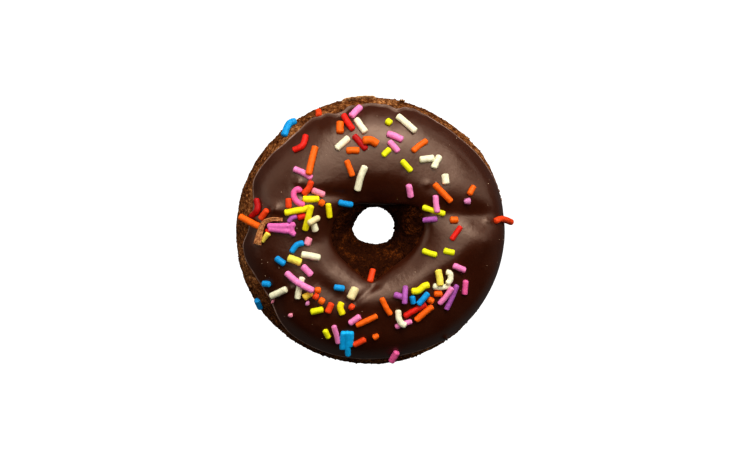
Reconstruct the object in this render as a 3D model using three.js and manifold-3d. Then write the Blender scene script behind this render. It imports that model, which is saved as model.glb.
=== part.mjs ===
// A chocolate ring doughnut with chocolate icing and coloured sugar sprinkles.
// Millimetres, +Z up. The origin is on the surface the ring rests on, under the middle of its outer box.
import * as THREE from "three";
import { ParametricGeometry } from "three/addons/geometries/ParametricGeometry.js";
import { mergeVertices } from "three/addons/utils/BufferGeometryUtils.js";
import Module from "manifold-3d";

// The ring of cake
const RING_MIDDLE = [-1.3, -0.1]; // its axis from the origin
const RING_STEP = 30; // degrees of heading between the values of the next two lists
const RIM_RADIUS = [39.9, 40.7, 40.5, 40.4, 40.6, 40.7, 41.0, 41.2, 40.7, 39.7, 39.4, 39.6]; // widest line
const HOLE_RADIUS = [7.5, 7.8, 7.6, 7.1, 6.0, 5.3, 5.4, 4.9, 4.2, 4.1, 5.0, 6.6]; // the hole's narrowest line
const CREST_SHARE = 0.52; // where the top line runs, from the hole to the rim
const WAIST_HEIGHT = 13; // of the rim and of the hole's narrowest line
const CAKE_HEIGHT = 27;
const BED_DEPTH = 1.5; // how much of the round underside is pressed flat
const CRUMB_RELIEF = 0.16;
const COVERED_SPAN = [20, 140]; // degrees of the section that stay smooth under the icing
const COVERED_MARGIN = 12;
const LUMPS = [
  // gentle waves of the top: how many round the ring, the heading of a peak, and the height
  { peaks: 3, first: 20, height: 0.25 },
  { peaks: 5, first: 300, height: 0.2 },
];
const LUMP_SPAN = [30, 150]; // degrees of the section
const LUMP_MARGIN = 25;

// The icing over its top
const ICING_GAP = 0.35; // kept free between icing and cake
const ICING_THICKNESS = 1.3;
const ICING_LIP = 0.8; // thickness left at its edges
const ICING_LIP_WIDTH = 9; // degrees of the section over which it thins down to the lip
const ICING_EDGE_STEP = 15; // degrees of heading between the values of ICING_EDGE
const ICING_EDGE = [
  // degrees of the section above the rim at which the icing ends
  12, 14, 21, 29, 30, 32, 37, 41, 36, 38, 31, 42, 42, 35, 44, 34, 17, 10, 8, 7, 7, 7, 9, 11,
];
const HOLE_EDGE_STEP = 30;
const HOLE_EDGE = [117, 124, 145, 150, 143, 132, 128, 129, 122, 113, 116, 118]; // the same, in the hole

// Folds of the icing: grooves across the ring, as heading, half width in degrees and depth
const GROOVES = [
  { heading: 8, width: 6, depth: 1.2, from: 15, to: 150 },
  { heading: 170, width: 6, depth: 0.9, from: 35, to: 150 },
  { heading: 268, width: 7, depth: 1.3, from: 95, to: 160 },
];
const GROOVE_MARGIN = 15; // degrees of the section over which a groove runs out

// Flakes of crust that stand off the rim: heading span and reach
const FLAKES = [
  { from: 88, to: 101, reach: 1.0 },
  { from: 73, to: 78, reach: 1.0 },
];
const FLAKE_TOP = 18; // degrees of the section above the rim
const FLAKE_MARGIN = 9; // over which a flake rises on either side

// Sprinkles: sugar rods of this section, pressed into what they lie on
const SPRINKLE_SIDES = 6;
const SPRINKLE_SINK = 0.3; // of their diameter
const SPRINKLE_STACKING = 0.72; // of the height that two would take up if one lay freely across the other
const CROSSING_WIDTH = 0.6; // of that height too: rods whose middle lines pass nearer than this cross
const MOST_TIP = 1.15; // how far past the crossing a propped rod goes on rising, as a share of its lift
const SAG_SHARE = 0.7; // how much of the ground's bulge under its middle lifts a straight rod
const SPRINKLE_BEND_STEPS = 2; // per stretch of a bent one
const OVERHANG_DROP = 0.3; // how steeply an end that reaches past the edge hangs down
const SIDE_SPRINKLE_ANGLE = 14; // degrees of the section above the rim, the lowest place of one on the cake

// The plan below is drawn at the rim's height as seen from this eye point.
const EYE = new THREE.Vector3(-38, 38, 540);

// Each row: diameter, then x and y of two or more points of the rod's middle line.
const BOTTOM_LAYER = {
  red: [
    [1.9, -19.4, 28.9, -20.5, 25.7, -23.4, 24.2],
    [1.9, -8.3, 35.2, -5.1, 30.4],
    [1.9, -5.0, 28.9, -1.1, 24.5],
    [1.9, -17.9, 15.1, -18.8, 12.9, -20.6, 10.9],
    [1.9, -24.9, 9.9, -24.9, 6.8],
    [1.9, -34.5, 9.8, -34.0, 7.6, -34.4, 5.8, -36.5, 5.5],
    [1.9, -31.0, 6.4, -33.3, 3.4],
    [1.8, -22.2, 3.9, -19.6, 4.6],
    [1.7, 28.0, 0.9, 25.0, -3.3],
    [2.0, 38.4, 2.5, 40.5, 3.2, 43.0, 2.5],
    [1.8, 10.4, -26.6, 17.3, -22.8],
    [2.0, -11.8, -22.2, -13.1, -25.4],
    [2.0, -5.9, -23.5, -5.5, -23.7],
    [2.0, -16.8, -20.2, -16.3, -20.4],
    [1.8, 0.9, -12.2, -0.2, -16.3],
    [1.7, -32.4, 0, -30.6, -0.9],
  ],
  orange: [
    [2.3, -9.1, 32.9, -9.1, 29.4],
    [2.1, -7.3, 24.2, -3.2, 24.2],
    [1.8, -7.2, 21.4, -5.3, 16.4],
    [1.8, 17.4, 27.2, 12.9, 23.9],
    [1.9, 19.6, 14.1, 25.0, 8.6],
    [1.8, 31.9, 13.4, 30.3, 10.6],
    [2.1, 24.5, 2.9, 27.1, 2.9],
    [1.9, -15.1, 8.4, -14.6, 8.2],
    [2.1, -39.5, 4.6, -33.1, 0.9],
    [1.9, -17.1, -18.4, -15.1, -18.4],
    [2.0, -15.1, -21.6, -14.5, -21.8],
    [1.9, 19.6, -19.7, 22.2, -19.7],
    [2.0, 17.6, -21.3, 19.5, -22.2],
    [2.0, 13.9, -28.0, 19.3, -23.4],
    [1.7, 3.5, -20.8, 6.4, -26.1],
    [1.8, -4.4, -29.3, 2.3, -26.3],
    [1.9, -5.2, -35.2, -1.4, -33.4],
    [1.8, 1.5, -32.8, 2.1, -32.4],
  ],
  yellow: [
    [2.0, 5.3, 33.0, 6.1, 32.4],
    [1.8, 9.6, 21.3, 12.7, 17.9],
    [2.0, -20.7, 9.5, -15.6, 9.5],
    [1.8, -13.0, 8.3, -12.5, 3.9],
    [2.0, -26.2, 5.4, -17.7, 7.0],
    [1.5, -30.7, -0.6, -32.6, -3.4],
    [2.4, -25.2, -8.3, -21.0, -9.9],
    [2.1, -20.5, -20.5, -17.7, -19.4],
    [2.0, -9.0, -22.3, -8.6, -25.9],
    [1.8, 16.2, -6.4, 20.7, -7.9],
    [1.9, 22.7, -6.4, 26.1, -7.2],
    [2.1, 12.7, -18.7, 15.2, -18.0, 18.1, -17.1],
    [1.8, 6.2, 24.8, 3.8, 22.6],
    [1.8, 16.2, 7.2, 23.0, 4.8],
    [2.0, -18.2, -25.0, -14.3, -24.2],
    [1.8, -13.9, -30.4, -12.5, -33.0],
  ],
  cream: [
    [2.1, -4.3, 33.7, -1.3, 29.6],
    [2.1, 8.2, 34.5, 13.9, 29.7],
    [2.1, -6.4, 28.2, -10.4, 24.7],
    [2.1, -1.5, 19.8, -4.0, 12.2],
    [2.1, 15.1, 21.4, 19.6, 21.9],
    [2.0, 21.3, 22.6, 19.3, 18.7],
    [2.3, 22.8, 17.1, 23.3, 13.8],
    [2.1, -17.4, 2.2, -16.7, -0.3],
    [2.1, -21.1, -7.3, -15.4, -8.6],
    [1.9, -20.7, -14.2, -22.2, -21.0],
    [2.1, -30.3, -19.9, -25.3, -17.8],
    [2.6, -4.5, -17.7, -6.1, -21.2],
    [1.9, 19.3, -17.3, 21.4, -17.7, 24.6, -17.3],
  ],
  pink: [
    [2.1, -2.8, 37.5, -5.8, 34.3],
    [2.0, 5.1, 29.4, 10.0, 27.4],
    [1.9, 5.7, 27.1, 8.7, 23.8],
    [1.9, -23.3, 18.7, -17.7, 15.8],
    [1.8, -21.2, 11.9, -22.1, 12.7, -23.3, 11.5, -23.0, 9.6, -21.7, 8.3, -20.0, 7.8],
    [1.9, -17.8, 12.5, -13.9, 10.8],
    [1.9, 11.8, 14.1, 12.6, 10.0],
    [2.1, -18.6, -2.1, -19.5, -4.7],
    [2.0, -20.8, -10.8, -17.9, -13.8],
    [1.7, -30.2, -21.9, -29.8, -22.1],
    [1.7, -24.3, -25.7, -24.1, -26.1],
    [1.7, -11.2, -29.1, -9.7, -34.6],
    [1.9, -6.5, -28.7, -3.0, -26.3],
    [1.9, 25.6, -10.9, 29.2, -12.5],
    [1.8, 29.4, -15.5, 29.0, -20.1],
    [1.7, 7.7, -29.9, 12.9, -28.1],
    [1.9, 8.1, -37.1, 6.4, -39.8],
  ],
  purple: [
    [1.8, 16.6, 2.9, 20.8, 3.3],
    [2.0, 29.6, 8.6, 30.2, 8.4],
    [1.5, -22.3, 4.2, -23.9, 3.8, -24.9, 2.4],
    [1.9, -19.3, -22.3, -18.9, -22.3],
    [1.9, 7.3, -19.9, 10.3, -20.7],
    [1.7, 23.3, -24.7, 26.7, -16.9],
  ],
  blue: [
    [1.9, -9.8, 8.6, -5.5, 8.1],
    [1.8, -20.3, -3.8, -22.5, -4.5, -24.1, -6.8],
    [2.0, -28.8, -8.2, -25.9, -10.3],
    [1.9, -33.1, -16.2, -30.0, -16.2],
    [1.9, -11.1, -17.4, -7.8, -17.9],
    [1.8, 12.9, -20.2, 13.4, -22.9],
    [1.9, -7.8, -30.8, -8.3, -36.3],
    [1.9, -6.0, -30.9, -6.6, -38.1],
    [1.9, -8.0, -30.9, -5.2, -31.6],
  ],
};

// These lie across others, so each is propped up where it crosses them.
const TOP_LAYER = {
  orange: [
    [2.1, -2.3, 27.6, 0, 27.7, 2.3, 26.2],
    [1.9, -16.6, 25.5, -18.8, 16.9],
  ],
  yellow: [
    [1.9, -18.1, 7.8, -20.0, 0],
    [2.1, 20.9, -12.2, 21.5, -17.2],
  ],
  cream: [
    [1.9, -15.8, 4.0, -19.1, 2.3],
    [1.8, 23.3, -13.0, 24.6, -13.5, 24.5, -15.5, 23.3, -16.5],
    [1.9, 8.6, -24.5, 8.8, -27.2, 9.7, -28.7, 11.0, -29.2],
  ],
  pink: [
    [1.8, 20.1, 10.7, 20.6, 5.3],
    [2.0, -25.7, -12.8, -22.0, -15.9, -17.4, -18.4],
    [1.7, 21.1, -23.0, 25.1, -17.6],
    [2.9, -31.2, 1.0, -27.5, 0.6, -23.6, 0.3],
    [2.2, -23.2, 1.9, -22.4, -1.3],
  ],
  purple: [[1.7, 10.9, -17.2, 10.4, -22.7]],
  blue: [[1.9, 17.9, -19.3, 14.6, -23.0]],
  caramel: [[1.7, -26.6, 3.2, -31.2, 3.1, -32.7, 1.2, -34.1, -4.3]],
};

// These missed the icing and stuck to the side of the cake.
const ON_CAKE = {
  red: [[1.9, -15.6, 36.2, -15.5, 34.6]],
  blue: [
    [1.9, -22.4, 32.9, -24.7, 31.9, -26.3, 29.3],
    [1.9, -34.3, -20.7, -33.0, -23.3],
  ],
};

// Fineness of the meshes
const COLUMNS = 72; // headings round the ring
const CAKE_ROWS = 20; // points round its section
const ICING_ROWS = 11; // points over the icing, and as many back under it
const MERGE_DISTANCE = 1e-4;
const SIGHT_PASSES = 4; // for finding where a line of sight meets a surface
const HALVINGS = 24;
const NUDGE = 0.01; // radians, for the slope of a surface
const CROSSING_STEPS = 12; // along each of two rods

const TURN = 2 * Math.PI;
const radians = THREE.MathUtils.degToRad;
// In degrees, from -180 up to 180
const degrees = (angle) => THREE.MathUtils.euclideanModulo(THREE.MathUtils.radToDeg(angle) + 180, 360) - 180;

// A wave round the ring with that many peaks, the first of them at the given heading
function wave(heading, peaks, firstPeak) {
  return Math.cos(peaks * (heading - radians(firstPeak)));
}

// A smooth curve round the ring through values at even headings
function around(values, step, heading) {
  const place = THREE.MathUtils.euclideanModulo(degrees(heading), 360) / step;
  const index = Math.floor(place);
  const share = place - index;
  const [a, b, c, d] = [-1, 0, 1, 2].map((k) => values[(index + k + values.length) % values.length]);
  const slope = (c - a) / 2;
  const nextSlope = (d - b) / 2;
  const rise = c - b;
  const square = 3 * rise - 2 * slope - nextSlope;
  const cube = slope + nextSlope - 2 * rise;
  return b + share * (slope + share * (square + share * cube));
}

// 1 inside a span of angles, falling smoothly to 0 over the given margin on both sides
function within(value, from, to, margin) {
  const { smoothstep } = THREE.MathUtils;
  return smoothstep(value, from - margin, from + margin) * (1 - smoothstep(value, to - margin, to + margin));
}

// The ring's section at a heading: radii of the hole, of the top line and of the rim
function sectionAt(heading) {
  const rim = around(RIM_RADIUS, RING_STEP, heading);
  const hole = around(HOLE_RADIUS, RING_STEP, heading);
  return { rim, hole, crest: hole + (rim - hole) * CREST_SHARE };
}

// How far the folds and lumps of the ring move its surface outwards at an angle of the section
function relief(heading, angle) {
  const at = degrees(angle);
  const groove = GROOVES.reduce((sum, g) => {
    const off = degrees(heading - radians(g.heading)) / g.width;
    return sum + g.depth * Math.exp(-off * off) * within(at, g.from, g.to, GROOVE_MARGIN);
  }, 0);
  const lump = LUMPS.reduce((sum, w) => sum + w.height * wave(heading, w.peaks, w.first), 0);
  return lump * within(at, ...LUMP_SPAN, LUMP_MARGIN) - groove;
}

// A point of the surface that lies the given distance outside the smooth ring
function ringPoint(heading, angle, distance) {
  const { rim, hole, crest } = sectionAt(heading);
  const across = Math.cos(angle);
  const up = Math.sin(angle);
  const width = across > 0 ? rim - crest : crest - hole;
  const height = up > 0 ? CAKE_HEIGHT - WAIST_HEIGHT : WAIST_HEIGHT + BED_DEPTH;
  const normal = new THREE.Vector2(across / width, up / height).normalize();
  const radius = crest + across * width + normal.x * distance;
  const z = Math.max(WAIST_HEIGHT + up * height + normal.y * distance, 0);
  return new THREE.Vector3(radius * Math.cos(heading), radius * Math.sin(heading), z);
}

// Crumbs and flakes of the cake's own crust, kept off what the icing covers
function crust(heading, angle) {
  const at = degrees(angle);
  const bare = 1 - within(at, ...COVERED_SPAN, COVERED_MARGIN);
  const crumbs = wave(heading + 2 * angle, 17, 0) * wave(heading - angle, 11, 40);
  const flake = FLAKES.find(({ from, to }) => degrees(heading) > from && degrees(heading) < to);
  const ledge = flake ? flake.reach * within(at, 0, FLAKE_TOP, FLAKE_MARGIN) : 0;
  return CRUMB_RELIEF * crumbs * bare + ledge;
}

function cakePoint(heading, angle) {
  return ringPoint(heading, angle, relief(heading, angle) + crust(heading, angle));
}

// The span of the section that the icing covers at a heading
function icingSpan(heading) {
  return {
    from: radians(around(ICING_EDGE, ICING_EDGE_STEP, heading)),
    to: radians(around(HOLE_EDGE, HOLE_EDGE_STEP, heading)),
  };
}

// The icing's outer surface, thinning towards its two edges
function icingPoint(heading, angle) {
  const { from, to } = icingSpan(heading);
  const toEdge = degrees(Math.max(Math.min(angle - from, to - angle), 0));
  const body = THREE.MathUtils.smoothstep(toEdge, -ICING_LIP_WIDTH, ICING_LIP_WIDTH);
  const thickness = ICING_LIP + (ICING_THICKNESS - ICING_LIP) * (2 * body - 1);
  return ringPoint(heading, angle, relief(heading, angle) + ICING_GAP + thickness);
}

function icingUnderside(heading, angle) {
  return ringPoint(heading, angle, relief(heading, angle) + ICING_GAP);
}

// A closed tube round the ring: one surface that wraps both ways, its faces turned outwards
function wrap(point, rows) {
  const write = (u, v, target) => target.copy(point(u, 1 - v));
  return new ParametricGeometry(write, rows, COLUMNS);
}

function cakeGeometry() {
  return wrap((u, v) => cakePoint(TURN * v, TURN * u), CAKE_ROWS);
}

function icingGeometry() {
  const rows = 2 * ICING_ROWS;
  return wrap((u, v) => {
    const heading = TURN * v;
    const { from, to } = icingSpan(heading);
    const row = Math.round(u * rows) % rows;
    const share = (k) => from + ((to - from) * k) / (ICING_ROWS - 1);
    return row < ICING_ROWS
      ? icingPoint(heading, share(row))
      : icingUnderside(heading, share(rows - 1 - row));
  }, rows);
}

// How far a point lies from the ring's axis
const radiusOf = (point) => Math.hypot(point.x, point.y);

// The angle of the section at which a surface is that far from the axis, by halving the span
function angleAt(radius, heading, surface, { from, to }) {
  const top = Math.PI / 2;
  let [low, high] = radius > radiusOf(surface(heading, top)) ? [from, top] : [top, to];
  for (let k = 0; k < HALVINGS; k++) {
    const middle = (low + high) / 2;
    if (radiusOf(surface(heading, middle)) > radius) low = middle;
    else high = middle;
  }
  return low;
}

// Where a plan point lands on a surface, and which way that surface faces there
function landing(x, y, surface, spanAt) {
  const spot = new THREE.Vector2(x, y);
  let heading;
  let angle;
  for (let pass = 0; pass < SIGHT_PASSES; pass++) {
    heading = Math.atan2(spot.y, spot.x);
    angle = angleAt(spot.length(), heading, surface, spanAt(heading));
    const share = (surface(heading, angle).z - WAIST_HEIGHT) / EYE.z;
    spot.set(x + (EYE.x - x) * share, y + (EYE.y - y) * share);
  }
  const point = surface(heading, angle);
  const alongRing = surface(heading + NUDGE, angle).sub(surface(heading - NUDGE, angle));
  const acrossRing = surface(heading, angle + NUDGE).sub(surface(heading, angle - NUDGE));
  const normal = alongRing.cross(acrossRing).normalize();
  const past = Math.max(spot.length() - radiusOf(point), 0);
  const outwards = new THREE.Vector3(Math.cos(heading), Math.sin(heading), -OVERHANG_DROP);
  return { point: point.addScaledVector(outwards, past), normal };
}

// How near two rods' plans come, and where along the first one, as a share of its length
function crossing(upper, lower) {
  let nearest = { gap: Infinity };
  for (let i = 0; i <= CROSSING_STEPS; i++) {
    const share = i / CROSSING_STEPS;
    const here = upper.curve.getPoint(share);
    for (let j = 0; j <= CROSSING_STEPS; j++) {
      const there = lower.curve.getPoint(j / CROSSING_STEPS);
      const gap = Math.hypot(here.x - there.x, here.y - there.y);
      if (gap < nearest.gap) nearest = { gap, share, here, there };
    }
  }
  return nearest;
}

// Lifts a rod off the ones it crosses: it tips about the end that is farthest from the crossing.
function propUp(rod, laid) {
  for (const lower of laid) {
    const { gap, share, here, there } = crossing(rod, lower);
    const touch = (rod.diameter + lower.diameter) / 2;
    if (gap > CROSSING_WIDTH * touch) continue;
    const need = there.z + SPRINKLE_STACKING * Math.sqrt(touch * touch - gap * gap) - here.z;
    if (need <= 0) continue;
    const pivot = share > 0.5 ? 0 : 1;
    const last = rod.points.length - 1;
    rod.points.forEach((p, k) => {
      p.z += need * Math.min(Math.abs(k / last - pivot) / Math.abs(share - pivot), MOST_TIP);
    });
    rod.curve = new THREE.CatmullRomCurve3(rod.points);
  }
}

// One sprinkle laid on a surface: straight rods stay straight, bent ones follow it.
function layRod([diameter, ...plan], surface, spanAt, laid) {
  const points = [];
  const height = diameter * (0.5 - SPRINKLE_SINK);
  const place = (x, y) => {
    const { point, normal } = landing(x, y, surface, spanAt);
    return { point: point.addScaledVector(normal, height), normal };
  };
  for (let k = 0; k < plan.length; k += 2) points.push(place(plan[k], plan[k + 1]).point);
  if (points.length === 2) {
    const middle = place((plan[0] + plan[2]) / 2, (plan[1] + plan[3]) / 2);
    const sag = points[0].clone().add(points[1]).multiplyScalar(-0.5).add(middle.point);
    const lift = SAG_SHARE * Math.max(sag.dot(middle.normal), 0);
    points.forEach((p) => p.addScaledVector(middle.normal, lift));
  }
  const rod = { diameter, points, curve: new THREE.CatmullRomCurve3(points) };
  propUp(rod, laid);
  return rod;
}

function rodGeometry({ diameter, points, curve }) {
  const corners = Array.from({ length: SPRINKLE_SIDES }, (_, k) => {
    const turn = (TURN * k) / SPRINKLE_SIDES;
    return new THREE.Vector2(Math.cos(turn), Math.sin(turn)).multiplyScalar(diameter / 2);
  });
  const outline = new THREE.Shape(corners);
  const steps = points.length > 2 ? SPRINKLE_BEND_STEPS * (points.length - 1) : 1;
  return new THREE.ExtrudeGeometry(outline, { steps, extrudePath: curve });
}

const wasm = await Module();
wasm.setup();

function solid(geometry) {
  const bare = geometry.clone().deleteAttribute("normal").deleteAttribute("uv");
  const merged = mergeVertices(bare, MERGE_DISTANCE);
  return new wasm.Manifold(
    new wasm.Mesh({
      numProp: 3,
      vertProperties: merged.attributes.position.array,
      triVerts: new Uint32Array(merged.index.array),
    }),
  );
}

function namedMesh(name, body, colour, roughness) {
  const { vertProperties, triVerts } = body.getMesh();
  const geometry = new THREE.BufferGeometry();
  geometry.setAttribute("position", new THREE.BufferAttribute(vertProperties, 3));
  geometry.setIndex(new THREE.BufferAttribute(triVerts, 1));
  const mesh = new THREE.Mesh(geometry, new THREE.MeshStandardMaterial({ color: colour, roughness }));
  mesh.name = name;
  return mesh;
}

// A body with the rods of a plan joined on: the first layer lies flat, and the next ones lie across it.
function strewn(body, [firstLayer, ...layers], surface, spanAt) {
  const rows = (layer) => Object.values(layer).flat();
  const laid = rows(firstLayer).map((row) => layRod(row, surface, spanAt, []));
  layers.flatMap(rows).forEach((row) => laid.push(layRod(row, surface, spanAt, laid)));
  return laid.reduce((sum, rod) => sum.add(solid(rodGeometry(rod))), body);
}

const bareSide = () => ({ from: radians(SIDE_SPRINKLE_ANGLE), to: Math.PI });
const cake = strewn(solid(cakeGeometry()), [ON_CAKE], cakePoint, bareSide);
const icing = strewn(solid(icingGeometry()), [BOTTOM_LAYER, TOP_LAYER], icingPoint, icingSpan);

const doughnut = new THREE.Group();
doughnut.position.set(...RING_MIDDLE, 0);
doughnut.add(namedMesh("cake", cake, 0x5a2c12, 0.85));
doughnut.add(namedMesh("icing", icing, 0x3c1a10, 0.35));

export default doughnut;
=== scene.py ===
"""Looks of a chocolate ring doughnut: its crumb, its chocolate icing and its coloured sugar sprinkles."""

import math

import bpy
import numpy as np
from mathutils import Matrix, Vector
from mathutils.bvhtree import BVHTree


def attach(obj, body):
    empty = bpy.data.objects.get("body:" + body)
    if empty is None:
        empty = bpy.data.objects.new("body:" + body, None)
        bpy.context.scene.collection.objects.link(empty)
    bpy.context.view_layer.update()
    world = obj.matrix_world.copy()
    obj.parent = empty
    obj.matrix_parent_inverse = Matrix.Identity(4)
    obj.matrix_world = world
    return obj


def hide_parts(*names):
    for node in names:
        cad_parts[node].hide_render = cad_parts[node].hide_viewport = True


# ----------------------------------------
# Sizes of the ring, in millimetres and degrees. Headings run round the ring, angles round its section:
# 0 at the rim, 90 at the top, 180 in the hole.
# ----------------------------------------
MM = 0.001

RING_MIDDLE = (-1.3, -0.1)
RIM_RADIUS = (41.0, 41.5, 40.5, 40.5, 40.4, 40.6, 40.8, 41.2, 41.1, 41.1, 41.4, 41.2)
HOLE_RADIUS = (7.5, 7.8, 7.6, 7.1, 6.0, 5.3, 5.4, 4.9, 4.2, 4.1, 5.0, 6.6)
CREST_SHARE = (0.52, 0.45, 0.38, 0.36, 0.41, 0.49, 0.52, 0.52, 0.52, 0.52, 0.5, 0.5)
WAIST_HEIGHT = 13
CAKE_HEIGHT = 27
BED_DEPTH = 1.5
MM_A_DEGREE = math.radians(16)  # of the section, whose radius is roughly 16
LUMPS = ((3, 20, 0.25), (5, 300, 0.2))  # how many round the ring, heading of a peak, height
LUMPED = (30, 150, 25)  # angles between which they are, and over how much they fade

ICING_LIFT = 1.65  # from the cake's smooth surface to the icing's
LIP_LIFT = 0.5  # the same, behind the rounded nose of its edges
RIM_LIP_WIDTH = 8  # how far in from the rim's edge the icing goes on thickening
HOLE_LIP_WIDTH = 3.4  # the same, from the edge in the hole
NOSE_RADIUS = 0.4
HIGHLIGHT_WIDTH, HIGHLIGHT_CORE = 0.9, 0.6  # of the icing's outer edge where a pale highlight is painted, and the share of that where it is full
FLARE_WIDTH, FLARE_LIFT = 1.7, 0.45  # of its scalloped edge, which stands up
FLARE_HIGHLIGHT_CUT = 0.6  # how much weaker the painted edge highlight is there, as a share
BED_LIFT = 0.05  # of the icing's underside

# Where the icing's edges show on the plan: heading, and distance from the axis
RIM_LINE = (
    (0, 41.5), (15, 41.4), (26, 41.0), (34, 40.5), (46, 39.5), (59, 39.1), (66, 39.3), (70.5, 38.9),
    (74.5, 39.1), (76.5, 38.1), (81, 38.0), (82.8, 38.8), (86.5, 38.2), (90, 38.6), (96, 38.4),
    (100, 38.0), (103.5, 37.0), (106.5, 37.0), (109, 37.8), (113, 38.2), (120, 38.1), (127, 37.5),
    (135, 37.3), (141, 37.9), (145, 38.1), (152, 38.6), (157, 38.7), (161, 37.8), (166, 36.6),
    (169, 36.3), (174, 36.9), (180, 37.4), (186, 39.4), (193, 39.4), (200, 38.3), (208, 37.5),
    (215, 37.3), (224, 39.1), (232, 40.1), (250, 40.0), (270, 39.9), (285, 40.0), (294, 40.5),
    (305, 41.2), (320, 41.6), (340, 41.6),
)
HOLE_LINE = (
    (0, 16.5), (15, 16.8), (25, 16.2), (35, 13.2), (45, 10.7), (60, 8.9), (75, 8.3), (90, 8.0),
    (105, 8.3), (120, 8.9), (135, 9.8), (150, 11.0), (165, 11.4), (180, 11.5), (195, 11.8),
    (210, 12.0), (225, 12.2), (240, 12.6), (255, 13.7), (265, 15.2), (272, 16.1), (279, 15.2),
    (285, 14.3), (300, 13.2), (315, 13.2), (330, 13.8), (345, 15.0),
)
LINE_ROUNDING = 3  # degrees of heading over which the corners of a line are rounded
RIM_EDGE_SPAN = (7, 60)  # angles between which an edge may lie
HOLE_EDGE_SPAN = (95, 165)
EDGE_LIFT = 0.4
SCALLOPS = ((23, 40, 0.16), (37, 110, 0.14), (61, 5, 0.1))  # waves of the rim's line, given as the lumps
SCALLOPED = (66, 122, 8)  # headings between which it waves, and over how much the waves fade

# Ridges and creases of the icing, on the plan that the sprinkles use: half width, height, points of a line
FOLDS = (
    (2.8, -0.5, 16.0, 6.3, 40.0, 3.9),
    (4.8, -1.4, 25.0, 4.5, 32.0, 4.0),
    (2.0, -0.9, -8.5, 10.6, -20.5, 11.2),
    (3.0, 0.6, -16.9, -7.9, -13.2, -13.2, -9.5, -16.4, -4.0, -20.5),
    (4.5, 1.0, 0.0, -22.0, 7.0, -20.0, 12.5, -16.5, 17.0, -13.2,
     21.5, -11.2, 26.0, -9.6, 30.5, -6.8, 34.0, -3.5),
    (1.2, -0.5, 2.0, -17.0, -1.2, -19.2, -4.5, -22.0),
    (3.0, -0.6, -16.0, -16.5, -9.5, -20.5),
)
FOLDED = (15, 150, 15)  # angles between which they are, and over how much they fade
BUMPS = (  # place on the plan, radius and height
    (-28.8, 6.4, 2.0, 1.1),
    (-21.6, 14.6, 1.3, 0.4),
    (-24.4, -17.9, 1.1, 0.35),
    (-16.0, -29.0, 1.4, 0.3),
    (17.5, 14.0, 1.2, 0.3),
    (26.0, -15.0, 1.2, 0.3),
    (23.6, -34.0, 0.9, 0.9),
    (36.6, 2.6, 1.0, 0.4),
)
CRUST_HOLLOWS = ((8.0, 38.0, 1.5, -1.5), (-9.0, 37.0, 1.3, -1.3))  # that show under the scallops: hollows in the crust, with painted shade darkening the crumb in them
SHADED_HEADINGS, SHADE_SHARE = (204, 262, 14), 0.5  # headings where painted shade darkens the crust, and by how much
HOLE_WALL = (112, 240, 12)  # angles between which painted shade makes it darkest
FLAT_BASE = (236, 304, 8)  # angles between which it is pressed flat
RIM_COVER, HOLE_COVER = (-1, 4), (-4, 1)  # degrees from an edge over which the crust's relief fades

# ----------------------------------------
# Sprinkles. The plan is drawn at the rim's height as seen from this eye point, in millimetres from the
# ring's axis. A row holds a thickness, or one for each end, and two or more points of the middle line.
# ----------------------------------------
EYE = (-38, 38, 540)
EYE_POINT = (EYE[0], EYE[1], EYE[2] + WAIST_HEIGHT)  # with its height from the floor

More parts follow.
